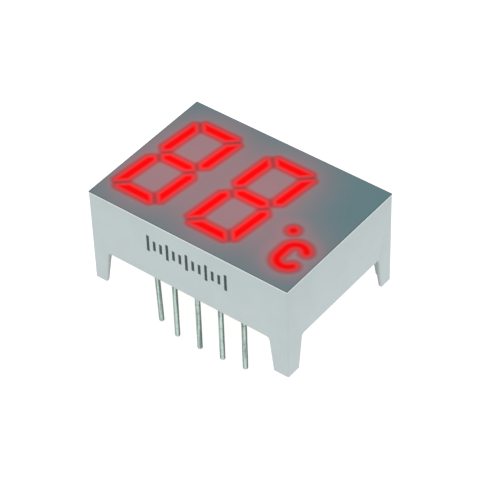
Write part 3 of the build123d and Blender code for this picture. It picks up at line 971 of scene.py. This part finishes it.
def potting_tree(material):
    """A slab whose lower face climbs at its walls, with a skirt of resin around each pin."""
    grow = Growing("Potting", {
        "Width": 20.2 * MM, "Depth": 13.9 * MM, "Bottom": 3.95 * MM, "Thickness": 0.8 * MM,
        "Pin Pitch": 2.54 * MM, "Row Spacing": 12.7 * MM, "Climb": 0.17 * MM, "Reach": 0.16 * MM,
        "Wall Climb": 0.1 * MM, "Skirt Start": 0.15 * MM, "Skirt Width": 0.6 * MM,
    })
    sheet_columns, sheet_rows = 141, 97
    rings, turns = 14, 33
    given = grow.given
    position = grow.node("GeometryNodeInputPosition").outputs[0]
    split = grow.node("ShaderNodeSeparateXYZ", position).outputs
    sheet = grow.node(
        "GeometryNodeMeshGrid", given["Width"], given["Depth"], sheet_columns, sheet_rows
    ).outputs[0]
    gaps = []
    for axis, size in ((0, given["Width"]), (1, given["Depth"])):
        half = grow.math("MULTIPLY", size, 0.5)
        gaps.append(grow.math("SUBTRACT", half, grow.math("ABSOLUTE", split[axis])))
    gap = grow.math("MINIMUM", *gaps)
    fall = grow.math("EXPONENT", grow.math("MULTIPLY", grow.math("DIVIDE", gap, given["Reach"]), -1.0))
    ripple = grow.add("ShaderNodeTexNoise", {"Scale": 1.0 / (4.0 * MM)}).outputs[0]
    sunk = grow.math("MULTIPLY_ADD", ripple, 0.05 * MM, -0.01 * MM)
    level = grow.math("SUBTRACT", sunk, grow.math("MULTIPLY", fall, given["Wall Climb"]))
    under = grow.node("GeometryNodeSetPosition", sheet, None, None, grow.vector(z=level)).outputs[0]
    slab = grow.thickened(under, given["Thickness"])
    flat_top = grow.node("FunctionNodeCompare", split[2], grow.math("MULTIPLY", given["Thickness"], 0.6))
    top_place = grow.vector(split[0], split[1], given["Thickness"])
    levelled = grow.node("GeometryNodeSetPosition", slab, flat_top.outputs[0], top_place).outputs[0]

    index = grow.node("GeometryNodeInputIndex").outputs[0]
    ring_sheet = grow.node("GeometryNodeMeshGrid", 1.0, 1.0, rings, turns).outputs[0]
    ring_number = grow.math("FLOOR", grow.math("DIVIDE", index, float(turns)))
    outward = grow.math("DIVIDE", ring_number, rings - 1.0)
    angle = grow.math("MULTIPLY", grow.math("MODULO", index, float(turns)), 2 * pi / (turns - 1))
    spread = grow.math("POWER", outward, 1.6)
    gone = grow.math("MULTIPLY", spread, given["Skirt Width"])
    away = grow.math("ADD", gone, given["Skirt Start"])
    drop = grow.math("EXPONENT", grow.math("DIVIDE", gone, grow.math("MULTIPLY", given["Reach"], -1.0)))
    lift = grow.math("MULTIPLY_ADD", grow.math("MULTIPLY", drop, given["Climb"]), -1.0, 0.012 * MM)
    ring_place = grow.vector(
        grow.math("MULTIPLY", away, grow.math("COSINE", angle)),
        grow.math("MULTIPLY", away, grow.math("SINE", angle)),
        lift,
    )
    skirt = grow.node("GeometryNodeSetPosition", ring_sheet, None, ring_place).outputs[0]
    skirt = grow.thickened(grow.weld(skirt), grow.math("MULTIPLY", given["Thickness"], 0.5))
    rows = grow.node(
        "GeometryNodeMeshGrid",
        grow.math("MULTIPLY", given["Pin Pitch"], FRONT_PINS - 1.0),
        given["Row Spacing"],
        FRONT_PINS,
        2,
    ).outputs[0]
    skirts = grow.node("GeometryNodeInstanceOnPoints", rows, None, skirt).outputs[0]
    grow.end(grow.moved(grow.join(levelled, skirts), grow.vector(z=given["Bottom"])), material)
    return grow


def resin_material(potting):
    """Milky potting resin with clouds, small bubbles and a soft gloss."""
    bubble_colour = (0.85, 0.83, 0.74)
    look = Shading("potting_resin")
    cloud = look.noise(2.6 * MM, detail=4.0, warp=0.8)
    bubble = look.step(look.cells(0.75 * MM), 0.13, 0.05)
    body = look.mix(look.step(cloud, 0.3, 0.7), potting.clear_colour, potting.deep_colour)
    body = look.mix(look.math("MULTIPLY", bubble, 0.35), body, bubble_colour)
    look.bump(bubble, 0.02 * MM, 0.5)
    look.bump(cloud, 0.05 * MM, 0.4)
    return look.paint(base=body, roughness=look.step(cloud, 0.2, 0.8, low=0.16, high=0.32))


class DISPLAY_OT_potting(bpy.types.Operator):
    """Make the resin that closes the back of the case, climbing its walls and the pins"""

    bl_idname = "display.potting"
    bl_label = "Potting"

    def execute(self, context):
        potting = settings("potting")
        low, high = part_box("potting")
        first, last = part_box("pin_10"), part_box("pin_5")
        reach_x = (last[0][0] + last[1][0] - first[0][0] - first[1][0]) / 2
        reach_y = (first[0][1] + first[1][1] - last[0][1] - last[1][1]) / 2
        mesh = potting_tree(resin_material(potting)).mesh(
            "resin_potting",
            width=high[0] - low[0],
            depth=high[1] - low[1],
            bottom=low[2],
            thickness=high[2] - low[2],
            pin_pitch=reach_x / (FRONT_PINS - 1),
            row_spacing=reach_y,
            climb=potting.climb,
            reach=potting.reach,
            wall_climb=potting.wall_climb,
        )
        smooth(mesh, 50)
        new_piece("resin_potting", mesh, "potting_epoxy", "potting")
        return {"FINISHED"}


# The parts inside the body


def casting_material(inner, film):
    """Milky casting, lit red from behind."""
    cloud_colour, dim_light = (0.9, 0.36, 0.34), (0.8, 0.03, 0.03)
    look = Shading("lit_casting", roughness=0.25)
    cloud = look.noise(0.6 * MM, detail=3.0)
    body = look.mix(look.step(cloud, 0.3, 0.7), inner.casting_colour, cloud_colour)
    light = look.mix(look.step(cloud, 0.2, 0.8, high=0.3), film.core_colour, dim_light)
    look.bump(cloud, 0.01 * MM, 0.4)
    return look.paint(base=body, roughness=look.step(cloud, 0.2, 0.8, low=0.2, high=0.34), light=light)


def chip_material(inner):
    """Cleaved light chip with faint facets."""
    facet_colour = (0.45, 0.1, 0.07)
    look = Shading("light_chip", roughness=0.2)
    facets = look.cells(0.06 * MM)
    body = look.mix(look.step(facets, 0.1, 0.7), inner.chip_colour, facet_colour)
    look.bump(facets, FINE_RELIEF, 0.5)
    return look.paint(base=body, roughness=look.step(facets, 0.1, 0.7, low=0.14, high=0.34))


def gilt_material(inner):
    """Gold-plated copper with a fine rolled grain."""
    groove_colour = (0.55, 0.36, 0.12)
    look = Shading("gilt_copper", metallic=1.0)
    rolled = look.noise(0.04 * MM, detail=3.0, place=look.stretch(0.2, 1.0, 1.0))
    body = look.mix(look.step(rolled, 0.3, 0.7, high=0.5), inner.gilt_colour, groove_colour)
    look.bump(rolled, 0.002 * MM, 0.5)
    return look.paint(base=body, roughness=look.step(rolled, 0.2, 0.8, low=0.2, high=0.4))


def laminate_material(inner):
    """Glass-fibre laminate with its woven threads showing faintly."""
    blotch_colour = (0.5, 0.45, 0.2)
    thread_pair = 0.42 * MM
    look = Shading("board_laminate")
    x, y, _ = look.axes()
    warp = look.math("SINE", look.math("MULTIPLY", x, 2 * pi / thread_pair))
    weft = look.math("SINE", look.math("MULTIPLY", y, 2 * pi / thread_pair))
    weave = look.math("MULTIPLY", warp, weft)
    blotch = look.noise(1.5 * MM, detail=3.0)
    body = look.mix(look.step(weave, -0.6, 0.6), inner.laminate_colour, inner.resist_colour)
    body = look.mix(look.step(blotch, 0.45, 0.75, high=0.3), body, blotch_colour)
    look.bump(weave, 0.006 * MM, 0.4)
    return look.paint(base=body, roughness=look.step(blotch, 0.2, 0.8, low=0.36, high=0.52))


def solder_material(inner):
    """Bright solder with a slightly grained skin."""
    hollow_colour = (0.3, 0.31, 0.3)
    look = Shading("bright_solder", metallic=1.0)
    skin = look.cells(0.08 * MM, feature="SMOOTH_F1")
    body = look.mix(look.step(skin, 0.1, 0.7, high=0.6), inner.solder_colour, hollow_colour)
    look.bump(skin, FINE_RELIEF, 0.5)
    return look.paint(base=body, roughness=look.step(skin, 0.1, 0.8, low=0.16, high=0.34))


class DISPLAY_OT_inside(bpy.types.Operator):
    """Finish the parts inside the body: castings, chips, pads, wires, board and solder"""

    bl_idname = "display.inside"
    bl_label = "Inside"

    def execute(self, context):
        inner = settings("inner")
        give(casting_material(inner, settings("film")), *nodes_called("epoxy_"))
        give(chip_material(inner), *nodes_called("chip_"))
        give(gilt_material(inner), "board_pads", "bond_wires")
        give(laminate_material(inner), "circuit_board")
        give(solder_material(inner), "solder_joints")
        replaced = {"reflector_case": "moulded_case", "face_film": "grey_film", "potting": "resin_potting"}
        replaced.update({f"pin_{n}": f"tinned_pin_{n}" for n in range(1, ALL_PINS + 1)})
        for node, piece in replaced.items():
            give(bpy.data.objects[piece].data.materials[0], node)
        return {"FINISHED"}


# The stage


def add_camera(stage):
    """The camera, looking at the middle of the body."""
    camera = bpy.data.cameras.new("Camera")
    camera.lens = stage.lens
    camera.sensor_width = SENSOR_WIDTH
    camera.clip_start = 10 * MM
    camera.clip_end = 10.0
    holder = bpy.data.objects.new("Camera", camera)
    aim = Vector((stage.aim_across, stage.aim_up, stage.aim_height))
    away = Vector((
        sin(stage.azimuth) * cos(stage.elevation),
        -cos(stage.azimuth) * cos(stage.elevation),
        sin(stage.elevation),
    ))
    stand = Matrix.Translation(aim + away * stage.distance)
    tilt = Matrix.Rotation(stage.azimuth, 4, "Z") @ Matrix.Rotation(pi / 2 - stage.elevation, 4, "X")
    holder.matrix_world = stand @ tilt @ Matrix.Rotation(stage.roll, 4, "Z")
    bpy.context.collection.objects.link(holder)
    bpy.context.scene.camera = holder


def add_softbox(name, power, size, azimuth, elevation, distance):
    """A square soft light that faces the middle of the object."""
    light = bpy.data.lights.new(name, "AREA")
    light.shape = "SQUARE"
    light.size = size
    light.energy = power
    holder = bpy.data.objects.new(name, light)
    turned, raised = radians(azimuth), radians(elevation)
    away = Vector((sin(turned) * cos(raised), -cos(turned) * cos(raised), sin(raised)))
    facing = away.to_track_quat("Z", "Y").to_matrix().to_4x4()
    holder.matrix_world = Matrix.Translation(away * distance) @ facing
    bpy.context.collection.objects.link(holder)


def floor_material(stage):
    """Pale floor with a very faint mottle, lit a little from within."""
    mottle_colour = (0.7, 0.71, 0.71)
    look = Shading("pale_floor", specular=0.1)
    look.shader.inputs["Emission Color"].default_value = (*WHITE, 1.0)
    look.shader.inputs["Emission Strength"].default_value = stage.floor_glow
    mottle = look.noise(40 * MM, detail=3.0)
    body = look.mix(look.step(mottle, 0.2, 0.8, high=0.04), stage.floor_colour, mottle_colour)
    look.bump(look.noise(2 * MM), 0.02 * MM, 0.1)
    return look.paint(base=body, roughness=look.step(mottle, 0.2, 0.8, low=0.85, high=0.95))


class DISPLAY_OT_stage(bpy.types.Operator):
    """Set up the pale floor, the soft light and the camera"""

    bl_idname = "display.stage"
    bl_label = "Stage"

    def execute(self, context):
        stage = settings("stage")
        half = stage.floor_size / 2
        level = CAD_BOX[0][2]
        mesh = bpy.data.meshes.new("floor")
        corners = [(x * half, y * half, level) for x, y in ((-1, -1), (1, -1), (1, 1), (-1, 1))]
        mesh.from_pydata(corners, [], [(0, 1, 2, 3)])
        mesh.materials.append(floor_material(stage))
        floor = bpy.data.objects.new("floor", mesh)
        context.collection.objects.link(floor)

        world = bpy.data.worlds.new("Studio")
        world.use_nodes = True
        background = world.node_tree.nodes["Background"]
        background.inputs["Color"].default_value = (*WHITE, 1.0)
        background.inputs["Strength"].default_value = stage.sky
        context.scene.world = world
        add_softbox("Key", stage.key_power, size=0.35, azimuth=-25, elevation=52, distance=0.5)
        add_softbox("Fill", stage.fill_power, size=0.4, azimuth=100, elevation=38, distance=0.55)
        context.scene.view_settings.view_transform = "Standard"
        context.scene.view_settings.look = "None"
        add_camera(stage)
        return {"FINISHED"}


# Panel and registration


class DISPLAY_PT_panel(bpy.types.Panel):
    """Lists the pieces of the display and the sizes and colours they are made with"""

    bl_idname = "DISPLAY_PT_panel"
    bl_label = "Seven segment display"
    bl_space_type = "VIEW_3D"
    bl_region_type = "UI"
    bl_category = "Display"

    def draw(self, context):
        for operator in OPERATORS:
            self.layout.operator(operator.bl_idname)
        for name in GROUPS:
            box = self.layout.box()
            box.label(text=name.capitalize())
            group = settings(name)
            for prop in group.__annotations__:
                box.prop(group, prop)


GROUPS = {
    "digits": DigitSettings,
    "film": FilmSettings,
    "case": CaseSettings,
    "pins": PinSettings,
    "potting": PottingSettings,
    "inner": InnerSettings,
    "stage": StageSettings,
}
OPERATORS = (
    DISPLAY_OT_case,
    DISPLAY_OT_face_film,
    DISPLAY_OT_pins,
    DISPLAY_OT_potting,
    DISPLAY_OT_inside,
    DISPLAY_OT_stage,
)


def register():
    """Registers the property groups, the operators and the panel."""
    for name, group in GROUPS.items():
        bpy.utils.register_class(group)
        setattr(bpy.types.Scene, "display_" + name, bpy.props.PointerProperty(type=group))
    for cls in (*OPERATORS, DISPLAY_PT_panel):
        bpy.utils.register_class(cls)


def unregister():
    """Takes back what register did, in the opposite order."""
    for cls in (DISPLAY_PT_panel, *reversed(OPERATORS)):
        bpy.utils.unregister_class(cls)
    for name, group in reversed(GROUPS.items()):
        delattr(bpy.types.Scene, "display_" + name)
        bpy.utils.unregister_class(group)


def main():
    """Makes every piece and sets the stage."""
    register()
    for operator in OPERATORS:
        space, action = operator.bl_idname.split(".")
        getattr(getattr(bpy.ops, space), action)()


if __name__ == "__main__":
    main()
